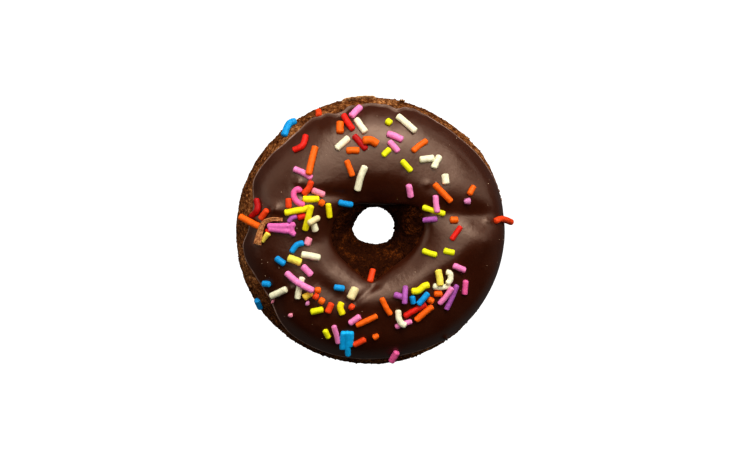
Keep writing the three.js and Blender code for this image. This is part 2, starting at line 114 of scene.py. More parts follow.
LYING = {
    "red": [
        (1.9, -19.4, 28.9, -20.5, 25.7, -23.4, 24.2),
        (1.9, -8.3, 35.2, -5.1, 30.4),
        (1.8, -22.2, 3.9, -19.6, 4.6),
        (1.7, 28.0, 0.9, 25.0, -3.3),
        (1.8, 10.4, -26.6, 17.3, -22.8),
        (1.3, -31.8, 0.3, -30.4, -0.7),
    ],
    "crimson": [
        (1.9, -5.0, 28.9, -1.1, 24.5),
        (1.9, -34.5, 9.8, -34.0, 7.6, -34.4, 5.8, -36.5, 5.5),
    ],
    "scarlet": [
        (1.9, -31.0, 6.4, -33.3, 3.4),
        (1.9, -5.2, -35.2, -1.4, -33.4),
        (1.9, -17.9, 15.1, -18.8, 12.9, -20.6, 10.9),
        (1.9, -24.9, 9.9, -24.9, 6.8),
        (2.0, 38.3, 2.4, 40.3, 3.1, 42.8, 2.4),
        (2.1, -6.4, -23.1, -5.0, -24.1),
        (2.0, -11.8, -22.2, -13.1, -25.4),
        (2.1, -17.3, -19.8, -15.9, -20.8),
    ],
    "orange": [
        (2.3, -9.1, 32.9, -9.1, 29.4),
        (2.1, -7.3, 24.2, -3.2, 24.2),
        (1.8, -7.2, 21.4, -5.3, 16.4),
        (1.8, 17.4, 27.2, 12.9, 23.9),
        (1.9, 19.6, 14.1, 25.0, 8.6),
        (1.8, 31.9, 13.4, 30.3, 10.6),
        (2.1, 24.5, 2.9, 27.1, 2.9),
        (2.1, -15.6, 8.8, -14.1, 7.9),
        (2.1, -39.3, 5.9, -33.3, 1.1),
        (1.9, -17.1, -18.4, -15.1, -18.4),
        (2.1, -15.7, -21.2, -14.0, -22.2),
        (1.9, 19.6, -19.7, 22.2, -19.7),
        (2.0, 17.6, -21.3, 19.5, -22.2),
        (2.0, 13.9, -28.0, 19.3, -23.4),
        (1.7, 3.5, -20.8, 6.4, -26.1),
        (1.8, -4.4, -29.3, 2.3, -26.3),
        ((2.2, 1.4), 0.9, -33.1, 2.6, -32.1),
    ],
    "yellow": [
        (1.8, -13.0, 8.3, -12.5, 3.9),
        (2.0, -20.7, 9.5, -15.6, 9.5),
        (2.0, -26.2, 5.4, -17.7, 7.0),
        (2.0, -8.6, -22.1, -9.2, -23.8, -8.3, -26.0),
        (2.1, 12.6, -18.9, 14.8, -18.7, 16.5, -17.4, 18.2, -16.9),
    ],
    "lime": [
        (2.1, 4.8, 33.3, 6.5, 32.2),
        (1.8, 9.6, 21.3, 12.7, 17.9),
        (1.8, 6.2, 24.8, 3.8, 22.6),
        (1.8, 16.2, 7.2, 23.0, 4.8),
        (1.8, 16.2, -6.4, 20.7, -7.9),
        (1.9, 22.7, -6.4, 26.1, -7.2),
        (2.0, -18.2, -25.0, -14.3, -24.2),
        (1.8, -13.9, -30.4, -12.5, -33.0),
    ],
    "golden": [((2.4, 1.3), -20.4, -20.6, -17.6, -19.3)],
    "pale_yellow": [
        (2.4, -25.2, -8.3, -21.0, -9.9),
        ((1.9, 1.0), -30.7, -0.6, -32.8, -3.6),
    ],
    "custard": [(2.6, -4.5, -17.7, -6.1, -21.2)],
    "cream": [
        (2.1, -4.3, 33.7, -1.3, 29.6),
        (2.1, 8.2, 34.5, 13.9, 29.7),
        (2.1, -6.4, 28.2, -10.4, 24.7),
        (2.1, -1.5, 19.8, -4.0, 12.2),
        (2.1, 15.1, 21.4, 19.6, 21.9),
        (2.0, 21.3, 22.6, 19.3, 18.7),
        (2.3, 22.8, 17.1, 23.3, 13.8),
        (2.1, -17.4, 2.2, -16.7, -0.3),
        (2.1, -21.1, -7.3, -15.4, -8.6),
        (1.9, -20.7, -14.2, -22.2, -21.0),
        (2.1, -30.3, -19.9, -25.3, -17.8),
        (1.9, 19.3, -17.3, 21.4, -17.7, 24.6, -17.3),
    ],
    "pink": [
        (2.1, -2.8, 37.5, -5.8, 34.3),
        (2.0, 5.1, 29.4, 10.0, 27.4),
        (1.9, 5.7, 27.1, 8.7, 23.8),
        (1.9, -23.3, 18.7, -17.7, 15.8),
        (1.9, 11.8, 14.1, 12.6, 10.0),
        (2.0, -20.8, -10.8, -17.9, -13.8),
        (1.7, -11.2, -29.1, -9.7, -34.6),
        (1.9, -6.5, -28.7, -3.0, -26.3),
        (1.9, 25.6, -10.9, 29.2, -12.5),
        (1.7, 7.7, -29.9, 12.9, -28.1),
    ],
    "salmon": [
        (1.9, -17.8, 12.5, -13.9, 10.8),
        (2.1, -18.6, -2.1, -19.5, -4.7),
        ((1.7, 1.4), -29.9, -21.4, -29.3, -21.9),
        ((1.8, 1.2), -24.5, -25.4, -23.9, -26.5),
    ],
    "rose": [
        (1.8, -21.2, 11.9, -22.1, 12.7, -23.3, 11.5, -23.0, 9.6, -21.7, 8.3, -20.0, 7.8),
        (2.1, 8.3, -37.2, 5.8, -39.7),
        (1.8, 29.4, -15.5, 29.0, -20.1),
    ],
    "purple": [
        (1.8, 16.6, 2.9, 20.8, 3.3),
        (1.5, -22.3, 4.2, -23.9, 3.8, -24.9, 2.4),
        (1.9, 7.3, -19.9, 10.3, -20.7),
        (1.7, 23.3, -24.7, 26.7, -16.9),
    ],
    "lavender": [
        ((1.3, 2.5), 28.8, 8.7, 30.7, 8.8),
        ((2.0, 1.4), -19.6, -22.0, -18.6, -22.6),
    ],
    "blue": [
        (1.9, -9.8, 8.6, -5.5, 8.1),
        (1.8, -20.3, -3.8, -22.5, -4.5, -24.1, -6.8),
        (2.0, -28.8, -8.2, -25.9, -10.3),
        (1.9, -32.8, -16.0, -30.2, -16.4),
        (1.9, -11.1, -17.4, -7.8, -17.9),
        (1.8, 12.9, -20.2, 13.4, -22.9),
    ],
}

# These lie across others, so each is propped up where it crosses them.
PROPPED = {
    "orange": [
        (2.5, -2.3, 27.2, 0.1, 27.3, 2.3, 26.1),
        (2.1, -16.6, 25.5, -18.8, 16.9),
    ],
    "yellow": [
        (1.9, -18.1, 7.8, -20.0, 0),
    ],
    "pale_yellow": [(2.1, 20.9, -12.2, 21.5, -17.2)],
    "custard": [(1.9, -15.8, 4.0, -19.1, 2.3)],
    "cream": [
        (1.8, 23.3, -13.0, 24.6, -13.5, 24.5, -15.5, 23.3, -16.5),
        (1.9, 8.6, -24.5, 8.8, -27.2, 9.7, -28.7, 11.0, -29.2),
    ],
    "pink": [
        (1.8, 20.1, 10.7, 20.6, 5.3),
        (2.0, -25.7, -12.8, -22.0, -15.9, -17.4, -18.4),
        (1.7, 21.1, -23.0, 25.1, -17.6),
    ],
    "purple": [(1.7, 10.9, -17.2, 10.4, -22.7)],
    "blue": [(1.9, 17.9, -19.3, 14.6, -23.0)],
}

# These missed the icing and stuck to the side of the cake or in its hole.
ON_CAKE = {
    "scarlet": [
        (1.9, -15.6, 36.2, -15.5, 34.6),
        (1.9, 0.9, -12.2, -0.2, -16.3),
    ],
    "blue": [
        (2.2, -22.1, 33.0, -24.6, 32.1, -26.0, 28.5),
        (2.1, -34.3, -20.7, -33.1, -23.5),
    ],
}

# Sprinkles that ran together while they dried
CLUMPS = {
    "hot_pink": [
        (1.9, -31.2, 1.5, -24.6, 1.5),
        (1.9, -30.9, 0.6, -24.6, -0.2),
        (1.8, -24.4, 1.3, -22.9, 2.2),
        (1.8, -24.4, -0.3, -22.8, -1.4),
        (1.6, -23.9, 1.7, -23.9, -1.0),
    ],
    # This clump's blue is the sprinkles' blue made lighter: painted light for a clump that lies in shade on
    # the south slope
    "sky_blue": [
        (1.7, -8.2, -30.9, -8.6, -36.3),
        (1.8, -7.0, -30.8, -6.8, -38.1),
        (1.7, -5.7, -31.0, -6.0, -35.6),
    ],
}

SINK = 0.3  # of a sprinkle's thickness, into what it lies on
STACKING = 0.72  # of the height that two take up where one lies across the other
CROSSING_WIDTH = 0.6  # of that height: middle lines that pass nearer than this cross
MOST_TIP = 1.15  # of the lift at a crossing, how far any point of the upper one is lifted at most
MOST_FALL = 0.5  # of a sprinkle's run, how far its low end hangs down on the icing
STEEPEST_FALL = 5.0  # the same, on the side of the cake
RAISE_SHARE = 0.7  # of the hump under a straight sprinkle's middle, by which the whole of it is raised
ARCH_SHARE = 0.3  # of that rise, by which its middle is arched as well
OVERHANG_DROP = 0.3
SIDE_HEIGHT = 4  # above the rim, where a sprinkle that misses the icing is held against its edge
BOW_SHARE = 0.02  # of its length, how much a straight sprinkle is bowed
CLUMP_GRAIN = 0.22
CLUMP_SOFTENING = (0.5, 3)  # strength, times

# Colours of the sugar, the crust and the caramel, as seen in plain light, from 0 to 255
SUGAR = {
    "red": (224, 34, 14),
    "crimson": (190, 14, 12),
    "scarlet": (244, 76, 20),
    "orange": (252, 108, 4),
    "yellow": (252, 233, 13),
    "lime": (239, 237, 14),
    "golden": (255, 208, 74),
    "pale_yellow": (254, 226, 92),
    "custard": (248, 226, 166),
    "cream": (251, 242, 203),
    "pink": (254, 142, 193),
    "salmon": (251, 152, 172),
    "rose": (252, 108, 166),
    "hot_pink": (236, 116, 182),
    "purple": (181, 97, 175),
    "lavender": (218, 138, 182),
    "blue": (15, 154, 216),
    # the sprinkles' blue made lighter, as painted light for the clump on the shaded south slope
    "sky_blue": (20, 190, 252),
}
DUST_COLOUR = (235, 205, 170)
CRUST_COLOURS = ((150, 92, 46), (232, 184, 124))
CARAMEL_COLOURS = ((150, 84, 42), (226, 158, 96))

# Tones of crumb and icing, as the share of light that they give back: stops of a ramp, or single ones
FRIED_TONES = ((0.38, (0.028, 0.006, 0.001)), (0.5, (0.24, 0.082, 0.02)), (0.62, (0.56, 0.25, 0.09)))
# The next two tones are painted shade: a darker crumb put on the hole's wall, in the crust's hollows and on
# the south-western crust, where shade falls
SHADED_CRUMB_TONES = ((0.36, (0.015, 0.003, 0.0004)), (0.5, (0.05, 0.011, 0.0016)), (0.64, (0.22, 0.06, 0.008)))
GAP_TONE = (0.05, 0.01, 0.002)
SPECK_TONE = (0.6, 0.27, 0.09)
DEEPEST_SHADE_TONE = (0.02, 0.004, 0.0006)
ICING_TONES = ((0.045, 0.0088, 0.0022), (0.052, 0.0115, 0.0038))
ICING_SHEEN = (1, 0.74, 0.56)
MOTE_TONE = (0.2, 0.1, 0.06)
# A pale tone painted along the icing's outer edge as its highlight
EDGE_HIGHLIGHT_TONE = (0.42, 0.27, 0.21)

# ----------------------------------------
# Floor, light and camera, in metres where not said otherwise
# ----------------------------------------
FLOOR_HALF = 4
FLOOR_GLOW, FLOOR_BOUNCE = 0.98, 0.05  # as looked at, and as it lights the ring
FLOOR_PAINT = 0.06
ROOM_LIGHT = 0.006
SOFT_LIGHTS = {  # heading and degrees below the zenith, distance, width and height, watts
    "north_window": (80, 41, 0.6, (0.27, 0.17), 0.85),
    "north_sky": (80, 35, 0.6, (0.5, 0.4), 1.0),
    "north_east_window": (36, 42, 0.6, (0.34, 0.22), 0.4),
    "north_wall": (78, 61, 0.8, (0.6, 0.45), 2.1),
    "north_west_wall": (148, 66, 0.8, (1.0, 0.7), 1.9),
    "west_wall": (180, 76, 0.8, (0.4, 0.3), 0.2),
    "north_east_wall": (44, 84, 0.8, (0.8, 0.2), 0.5),
    "east_wall": (14, 62, 0.8, (0.5, 0.4), 0.7),
    "ceiling": (110, 14, 0.8, (0.5, 0.45), 1.3),
}
LENS, SENSOR = 85.1, 36  # millimetres
LOOK_AT = (0.23, 0.97, 13)  # millimetres
FARTHEST_SEEN = 20

# ----------------------------------------
# Crust, crumbs, the caramel flake and the fine relief of all
# ----------------------------------------
FLAKES = ((87.5, 102.5, 1.5), (75.2, 77.6, 2.1))  # of crust on the rim: heading span and reach
FLAKE_ROOT = 1.0  # how far a flake starts inside the rim
FLAKE_TILT = 10  # degrees of the section above the rim
FLAKE_THICKNESS = 1.0
# Corners of its section: how far out and how far up, as shares of its reach and thickness
FLAKE_SECTION = ((0, 0.5), (0.4, 0.5), (1, 0.25), (1, -0.25), (0.4, -0.5), (0, -0.5))
FLAKE_CURL = 3  # degrees of the section that it turns up at 1 mm out, growing with the square
FLAKE_WAVE = 0.9  # degrees that it turns up where it is longest, and down where it is shortest
RAGGEDNESS, RAGGED_SPOTS = 0.15, 9  # share of a flake's reach that is left to chance, and at how many spots

CARAMEL_PATH = ((-26.5, 3.3), (-29.8, 3.6), (-32.2, 2.7), (-33.3, 0.4), (-34.4, -4.3))
CARAMEL_WIDTHS = (1.1, 1.3, 1.6, 1.8, 2.5)
CARAMEL_THICKNESS = 0.9
CARAMEL_RIDGES = 3
CARAMEL_RIDGE_HEIGHT = 0.3
CARAMEL_TAPERS = 14  # its length, counted in tapers such as it has at each end
CARAMEL_LEAST_TAPER = 0.05

CRUST_RELIEF = {"lump_height": 0.9 * MM, "pit_depth": 0.35 * MM, "grain_height": 0.8 * MM}
FLAKE_RELIEF = {"grain_height": 0.3 * MM}
CARAMEL_RELIEF = {"grain_height": 0.2 * MM}
ICING_RELIEF = {"wave_height": 0.55 * MM, "fine_height": 0.1 * MM}
ROD_SIZES = {"step": 0.2 * MM, "bevel": 0.5 * MM, "blunt_share": 0.45, "lump_height": 0.22 * MM}
CRUMBS = {"grains_a_square_metre": 1.8e5, "least_radius": 0.12 * MM, "most_radius": 0.36 * MM, "seed": 3}
SUGAR_DUST = {"grains_a_square_metre": 9e3, "least_radius": 0.05 * MM, "most_radius": 0.14 * MM, "seed": 8}

# ----------------------------------------
# Fineness of the meshes
# ----------------------------------------
CAKE_COLUMNS = 540
CAKE_ROWS = ((-62, 52, 1.8), (52, 108, 6), (108, 242, 1.8), (242, 298, 6))  # from, to and step, in degrees
ICING_COLUMNS = 720
ICING_ROWS = 112
BED_ROWS = 6
EDGE_CROWDING = 0.6  # share of the icing's rows that crowd towards its edges
ROD_SIDES = 12
SHORT_ROD_BEVEL = 0.4  # of its length at most
FLAKE_COLUMNS_A_DEGREE, FLAKE_LEAST_DEGREES = 4, 3
CARAMEL_STEPS, CARAMEL_SIDES = 60, 24
CORNER_STEPS = 6  # of the caramel's, to each side of a corner, over which it is rounded off
ANY_TURN = (6, 6, 6)  # radians
CROSSING_STEPS = 25
HALVINGS = 20


# ----------------------------------------
# Node trees
# ----------------------------------------
class Wire:
    """A node's output. Arithmetic on it adds Math nodes."""

    def __init__(self, graph, socket):
        self.graph = graph
        self.socket = socket

    def maths(self, operation, *operands):
        return self.graph.node("ShaderNodeMath", {"operation": operation}, operands)["Value"]

    def __add__(self, other):
        return self.maths("ADD", self, other)

    def __sub__(self, other):
        return self.maths("SUBTRACT", self, other)

    def __mul__(self, other):
        return self.maths("MULTIPLY", self, other)

    def __truediv__(self, other):
        return self.maths("DIVIDE", self, other)

    def __rsub__(self, other):
        return self.maths("SUBTRACT", other, self)

    def __rtruediv__(self, other):
        return self.maths("DIVIDE", other, self)

    __radd__ = __add__
    __rmul__ = __mul__

    def least(self, other):
        return self.maths("MINIMUM", self, other)

    def most(self, other):
        return self.maths("MAXIMUM", self, other)

    def root(self):
        return self.maths("SQRT", self)

    def rise(self, low, high):
        """0 up to low and 1 from high on, with a smooth rise between them"""
        span = {"Value": self, "From Min": low, "From Max": high}
        return self.graph.node("ShaderNodeMapRange", {"interpolation_type": "SMOOTHSTEP"}, span)["Result"]


def pick(sockets, name):
    """The first open socket of that name, or the one at that place"""
    open_ones = [socket for socket in sockets if socket.enabled]
    if isinstance(name, int):
        return open_ones[name]
    return next(socket for socket in open_ones if socket.name == name)


class Node:
    """A node whose outputs are read by name"""

    def __init__(self, graph, node):
        self.graph = graph
        self.node = node

    def __getitem__(self, name):
        return Wire(self.graph, pick(self.node.outputs, name))


class Graph:
    """A shader or geometry tree that is built node by node"""

    def __init__(self, tree):
        self.tree = tree

    def node(self, kind, settings=None, inputs=()):
        """Adds a node: first its settings, then the values or links of its sockets, by name or in order"""
        node = self.tree.nodes.new(kind)
        for name, value in (settings or {}).items():
            if name == "stops":
                self.set_stops(node.color_ramp, value)
            else:
                setattr(node, name, value)
        for name, value in inputs.items() if isinstance(inputs, dict) else enumerate(inputs):
            self.feed(pick(node.inputs, name), value)
        return Node(self, node)

    def feed(self, socket, value):
        if isinstance(value, Wire):
            self.tree.links.new(value.socket, socket)
        else:
            socket.default_value = value

    def set_stops(self, ramp, stops):
        while len(ramp.elements) < len(stops):
            ramp.elements.new(1)
        for element, (place, colour) in zip(ramp.elements, stops):
            element.position = place
            element.color = (*colour, 1)

    def ramp(self, value, stops):
        return self.node("ShaderNodeValToRGB", {"stops": stops}, [value])["Color"]

    def mix(self, factor, first, second):
        first, second = (c if isinstance(c, Wire) else (*c, 1) for c in (first, second))
        inputs = {"Factor": factor, "A": first, "B": second}
        return self.node("ShaderNodeMix", {"data_type": "RGBA", "blend_type": "MIX"}, inputs)["Result"]

    def noise(self, place, size, detail=2, roughness=0.5):
        """Noise from 0 to 1 whose lumps are about that many millimetres wide"""
        inputs = {"Vector": place, "Scale": self.per(size), "Detail": detail, "Roughness": roughness}
        return self.node("ShaderNodeTexNoise", {}, inputs)["Fac"]

    def cells(self, place, size):
        """How far it is to the nearest of many spots about that many millimetres apart, as a share"""
        inputs = {"Vector": place, "Scale": self.per(size)}
        return self.node("ShaderNodeTexVoronoi", {"feature": "F1"}, inputs)["Distance"]

    def per(self, size):
        """The scale of a pattern that repeats every so many millimetres"""
        return 1 / (size * MM)

    def mask(self, name):
        """A number that the piece carries for each point, read by its finish"""
        return self.node("ShaderNodeAttribute", {"attribute_name": name})["Fac"]

    def field(self, name):
        """The same, read while the piece is shaped"""
        settings = {"data_type": "FLOAT"}
        return self.node("GeometryNodeInputNamedAttribute", settings, {"Name": name})["Attribute"]

    def position(self):
        return self.node("GeometryNodeInputPosition")["Position"]

    def realized(self, geometry):
        return self.node("GeometryNodeRealizeInstances", {}, {"Geometry": geometry})["Geometry"]

    def raised(self, geometry, height):
        """The geometry with its surface moved outwards by a height that varies over it"""
        facing = self.node("GeometryNodeInputNormal")["Normal"]
        scaled = {"Vector": facing, "Scale": height}
        offset = self.node("ShaderNodeVectorMath", {"operation": "SCALE"}, scaled)["Vector"]
        moved = {"Geometry": geometry, "Offset": offset}
        return self.node("GeometryNodeSetPosition", {}, moved)["Geometry"]


def graph_of(owner):
    """The emptied shader tree of a material or a world"""
    owner.use_nodes = True
    owner.node_tree.nodes.clear()
    return Graph(owner.node_tree)


FLOAT, WHOLE, COATING = "NodeSocketFloat", "NodeSocketInt", "NodeSocketMaterial"


def shaping_tree(name, inputs):
    """A geometry tree with these named inputs: its graph, and the node that gives the inputs"""
    tree = bpy.data.node_groups.new(name, "GeometryNodeTree")
    tree.interface.new_socket("Geometry", in_out="INPUT", socket_type="NodeSocketGeometry")
    for label, kind in {**inputs, "Coating": COATING}.items():
        tree.interface.new_socket(label, in_out="INPUT", socket_type=kind)
    tree.interface.new_socket("Geometry", in_out="OUTPUT", socket_type="NodeSocketGeometry")
    graph = Graph(tree)
    return graph, graph.node("NodeGroupInput")


def end_tree(graph, geometry, given):
    """Ends a tree: real faces, smooth, none below the floor, in the coating it was given"""
    place = graph.node("ShaderNodeSeparateXYZ", {}, [graph.position()])
    above = graph.node("ShaderNodeCombineXYZ", {}, [place["X"], place["Y"], place["Z"].most(0)])["Vector"]
    moved = {"Geometry": graph.realized(geometry), "Position": above}
    laid = graph.node("GeometryNodeSetPosition", {}, moved)["Geometry"]
    smooth = graph.node("GeometryNodeSetShadeSmooth", {}, {"Geometry": laid})["Geometry"]
    coated = {"Geometry": smooth, "Material": given["Coating"]}
    done = graph.node("GeometryNodeSetMaterial", {}, coated)["Geometry"]
    graph.node("NodeGroupOutput", {}, {"Geometry": done})
    return graph.tree


def shape(piece, tree, **values):
    """Turns a piece into the plain mesh that the tree makes of it with these inputs"""
    modifier = piece.modifiers.new(tree.name, "NODES")
    modifier.node_group = tree
    for item in tree.interface.items_tree:
        key = item.name.lower().replace(" ", "_")
        if item.in_out == "INPUT" and key in values:
            modifier[item.identifier] = values[key]
    return apply_modifiers(piece)


def put_in_scene(name, data):
    """An object with this mesh, lamp or camera"""
    thing = bpy.data.objects.new(name, data)
    bpy.context.scene.collection.objects.link(thing)
    return thing


def apply_modifiers(piece):
    """Turns a piece into the plain mesh that its modifiers make of it"""
    mesh = bpy.data.meshes.new_from_object(piece.evaluated_get(bpy.context.evaluated_depsgraph_get()))
    piece.modifiers.clear()
    bare, piece.data = piece.data, mesh
    bpy.data.meshes.remove(bare)
    mesh.name = piece.name
    return piece


# ----------------------------------------
# The ring's shape: headings and angles in degrees, points in millimetres from its axis
# ----------------------------------------
def wave(heading, peaks, first_peak):
    """Between -1 and 1, with so many peaks round the ring"""
    return np.cos(np.radians(peaks * (heading - first_peak)))


def around(values, heading):
    """A smooth curve round the ring through values at even headings"""
    values = np.asarray(values, float)
    place = heading % 360 * len(values) / 360
    index = np.floor(place).astype(int)
    share = place - index
    a, b, c, d = (values[(index + k) % len(values)] for k in (-1, 0, 1, 2))
    slope, next_slope, rise = (c - a) / 2, (d - b) / 2, c - b
    square, cube = 3 * rise - 2 * slope - next_slope, slope + next_slope - 2 * rise
    return b + share * (slope + share * (square + share * cube))


def smooth_step(value, low, high):
    """0 up to low and 1 from high on, with a smooth rise between them"""
    share = np.clip((value - low) / (high - low), 0, 1)
    return share * share * (3 - 2 * share)


def within(value, low, high, margin):
    """1 inside a span, falling smoothly to 0 over the margin on both sides"""
    rise = smooth_step(value, low - margin, low + margin)
    return rise * (1 - smooth_step(value, high - margin, high + margin))


def ring_point(heading, angle, distance):
    """A point that lies the given distance outside the smooth ring"""
    heading, angle = np.broadcast_arrays(heading, angle)
    rim, hole = around(RIM_RADIUS, heading), around(HOLE_RADIUS, heading)
    crest = hole + (rim - hole) * around(CREST_SHARE, heading)
    across, up = np.cos(np.radians(angle)), np.sin(np.radians(angle))
    width = np.where(across > 0, rim - crest, crest - hole)
    height = np.where(up > 0, CAKE_HEIGHT - WAIST_HEIGHT, WAIST_HEIGHT + BED_DEPTH)
    normal = np.stack([across / width, up / height])
    normal = normal / np.linalg.norm(normal, axis=0)
    radius = crest + across * width + normal[0] * distance
    z = np.maximum(WAIST_HEIGHT + up * height + normal[1] * distance, 0)
    turn = np.radians(heading)
    return np.stack([radius * np.cos(turn), radius * np.sin(turn), z], axis=-1)


def on_plan(points):
    """Where points are on the plan, as seen from the eye"""
    share = (points[..., 2:] - WAIST_HEIGHT) / EYE[2]
    return (points[..., :2] - np.array(EYE[:2]) * share) / (1 - share)


def gap_to(plan, line):
    """How far places on the plan are from a broken line"""
    gaps = []
    for start, end in zip(line[:-1], line[1:]):
        run = end - start
        share = np.clip((plan - start) @ run / (run @ run), 0, 1)
        gaps.append(np.linalg.norm(plan - start - share[..., None] * run, axis=-1))
    return np.min(gaps, axis=0)


def relief(heading, angle):
    """How far lumps and creases move the surface outwards"""
    plan = on_plan(ring_point(heading, angle, ICING_LIFT))
    lump = sum(height * wave(heading, peaks, first) for peaks, first, height in LUMPS)
    total = lump * within(angle, *LUMPED)
    for half_width, height, *line in FOLDS:
        gap = gap_to(plan, np.reshape(line, (-1, 2)))
        total = total + height * np.exp(-((gap / half_width) ** 2)) * within(angle, *FOLDED)
    return total


def bumps(heading, angle, spots):
    """How far round bumps or hollows on the plan move the surface outwards"""
    plan = on_plan(ring_point(heading, angle, ICING_LIFT))
    total = 0
    for x, y, radius, height in spots:
        gap = np.linalg.norm(plan - (x, y), axis=-1)
        total = total + height * np.exp(-((gap / radius) ** 2))
    return total


def line_at(line, heading):
    """How far out a line lies at a heading"""
    headings, distances = zip(*line)
    turns = np.linspace(-0.5, 0.5, 7) * LINE_ROUNDING
    return np.mean([np.interp(heading + turn, headings, distances, period=360) for turn in turns], axis=0)


def edge_on(line, heading, span, waves):
    """The angle of the section at which the icing's edge shows on a wavy line, by halving the span"""
    low, high = (np.full(heading.shape, float(end)) for end in span)
    for _ in range(HALVINGS):
        middle = (low + high) / 2
        x, y = np.moveaxis(on_plan(ring_point(heading, middle, EDGE_LIFT)), -1, 0)
        outside = np.hypot(x, y) > line_at(line, np.degrees(np.arctan2(y, x))) + waves
        low, high = np.where(outside, middle, low), np.where(outside, high, middle)
    return low


def icing_span(heading):
    """The angles at which the icing ends on the rim's side and in the hole"""
    waves = sum(height * wave(heading, peaks, first) for peaks, first, height in SCALLOPS)
    outer = edge_on(RIM_LINE, heading, RIM_EDGE_SPAN, waves * within(heading, *SCALLOPED))
    return outer, edge_on(HOLE_LINE, heading, HOLE_EDGE_SPAN, 0)


# ----------------------------------------
# Making pieces
# ----------------------------------------
def piece_of(name, points, faces, edges=(), **attributes):
    """A piece from points in millimetres from the ring's axis, with a number for each point"""
    mesh = bpy.data.meshes.new(name)
    placed = (np.asarray(points, float).reshape(-1, 3) + (*RING_MIDDLE, 0)) * MM
    mesh.from_pydata(placed.tolist(), list(edges), faces)
    for label, values in attributes.items():
        field = mesh.attributes.new(label, "FLOAT", "POINT")
        field.data.foreach_set("value", np.ravel(values).astype(np.float32))
    return put_in_scene(name, mesh)


def wrapped_faces(columns, rows):
    """Faces of a tube round the ring that is closed both ways"""
    column, row = (k.ravel() for k in np.meshgrid(range(columns), range(rows), indexing="ij"))
    next_column, next_row = (column + 1) % columns, (row + 1) % rows
    corners = ((column, row), (next_column, row), (next_column, next_row), (column, next_row))
    return np.stack([c * rows + r for c, r in corners], axis=1).tolist()


def tube_faces(columns, rows):
    """Faces of a tube with closed ends, whose points run round each column"""
    corners = [(c * rows, c * rows + rows) for c in range(columns - 1)]
    sides = [
        (here + r, there + r, there + (r + 1) % rows, here + (r + 1) % rows)
        for here, there in corners
        for r in range(rows)
    ]
    last = (columns - 1) * rows
    return [*sides, tuple(range(rows))[::-1], tuple(range(last, last + rows))]


def own(piece, node):
    """The piece stands in for a node of the model: that node's part is hidden and the piece is attached to
    the root body
    """
    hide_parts(node)
    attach(piece, "root")
    return piece


# ----------------------------------------
# Cake and icing
# ----------------------------------------
def crumb_tree():
    """Lumps, pits and grains of a fried crust, where the cake is bare"""
    sizes = {"Lump height": FLOAT, "Pit depth": FLOAT, "Grain height": FLOAT}
    graph, given = shaping_tree("Crumb", sizes)
    place = graph.position()
    lumps = graph.noise(place, 4.2, 3, 0.6) - 0.5
    grains = graph.noise(place, 1.1, 2, 0.7) - 0.5
    pits = 1 - graph.cells(place, 1.9).rise(0.12, 0.42)
    height = lumps * given["Lump height"] + grains * given["Grain height"] - pits * given["Pit depth"]
    return end_tree(graph, graph.raised(given["Geometry"], height * graph.field("bare")), given)


def make_cake(coating):
    """The ring of cake, whose crust is rough where the icing leaves it bare"""
    heading = np.arange(CAKE_COLUMNS)[:, None] * 360 / CAKE_COLUMNS
    angle = np.concatenate([np.arange(*span) for span in CAKE_ROWS])[None, :]
    outer, inner = icing_span(heading)
    (rim_start, rim_end), (hole_start, hole_end) = RIM_COVER, HOLE_COVER
    past_rim = smooth_step(angle, outer + rim_start, outer + rim_end)
    covered = past_rim * (1 - smooth_step(angle, inner + hole_start, inner + hole_end))
    hollow = bumps(heading, angle, CRUST_HOLLOWS)
    # Painted shade: the dark mask darkens the crumb on the hole's wall, in the crust's hollows and on the
    # south-western crust
    dark = np.maximum(within(angle, *HOLE_WALL), np.clip(-hollow, 0, 1))
    dark = np.maximum(dark, SHADE_SHARE * within(heading, *SHADED_HEADINGS))
    masks = {"bare": (1 - covered) * (1 - within(angle, *FLAT_BASE)), "dark": dark}
    points = ring_point(heading, angle, relief(heading, angle) + hollow)
    piece = piece_of("cake_ring", points, wrapped_faces(*points.shape[:2]), **masks)
    shape(piece, crumb_tree(), coating=coating, **CRUST_RELIEF)
    return own(piece, "cake")


def ripple_tree():
    """Slow waves and a faint unevenness of icing that set as it ran"""
    graph, given = shaping_tree("Ripple", {"Wave height": FLOAT, "Fine height": FLOAT})
    place = graph.position()
    waves = graph.noise(place, 12, 1) - 0.5
    fine = graph.noise(place, 3, 2) - 0.5
    height = waves * given["Wave height"] + fine * given["Fine height"]
    return end_tree(graph, graph.raised(given["Geometry"], height * graph.field("free")), given)


def icing_lift(from_rim, from_hole, flare):
    """Height of the icing over the cake, by how far its edges are: a rounded nose, then a gentle rise"""
    nose = np.sqrt(1 - (1 - np.clip(np.minimum(from_rim, from_hole) / NOSE_RADIUS, 0, 1)) ** 2)
    hole_body = 1 - (1 - np.clip(from_hole / HOLE_LIP_WIDTH, 0, 1)) ** 2
    body = smooth_step(from_rim, 0, RIM_LIP_WIDTH) * hole_body
    lip = LIP_LIFT - BED_LIFT + FLARE_LIFT * flare * (1 - smooth_step(from_rim, 0, FLARE_WIDTH))
    return BED_LIFT + lip * nose + (ICING_LIFT - LIP_LIFT) * body


